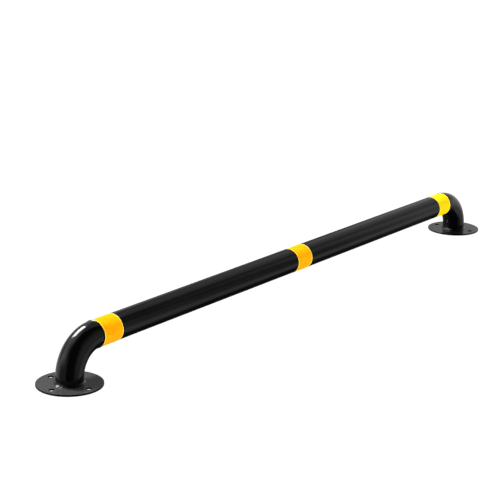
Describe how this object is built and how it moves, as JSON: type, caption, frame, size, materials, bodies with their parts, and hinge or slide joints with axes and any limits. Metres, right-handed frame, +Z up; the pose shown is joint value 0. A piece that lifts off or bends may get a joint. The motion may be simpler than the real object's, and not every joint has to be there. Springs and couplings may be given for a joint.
{
  "type": "tubular parking barrier",
  "caption": "Low steel tube barrier with a bend and a round bolt-down base plate at each end, black with yellow reflective bands.",
  "frame": {"origin": "on the floor, midway between the two base plates", "axes": "+X along the tube, +Z up"},
  "size_m": [2.18, 0.18, 0.1524],
  "materials": {
    "black_powder_coat": "glossy black powder coat over welded steel tube",
    "base_plate_coat": "semi-gloss black powder coat on flat steel plate",
    "yellow_reflective_film": "yellow retroreflective film, finely mottled"
  },
  "bodies": {
    "root": {"rail_tube": "black_powder_coat", "elbow_left": "black_powder_coat", "elbow_right": "black_powder_coat", "base_plate_left": "base_plate_coat", "base_plate_right": "base_plate_coat", "weld_rail_left": "black_powder_coat", "weld_rail_right": "black_powder_coat", "weld_foot_left": "black_powder_coat", "weld_foot_right": "black_powder_coat", "band_left": "yellow_reflective_film", "band_centre": "yellow_reflective_film", "band_right": "yellow_reflective_film"}
  },
  "joints": []
}
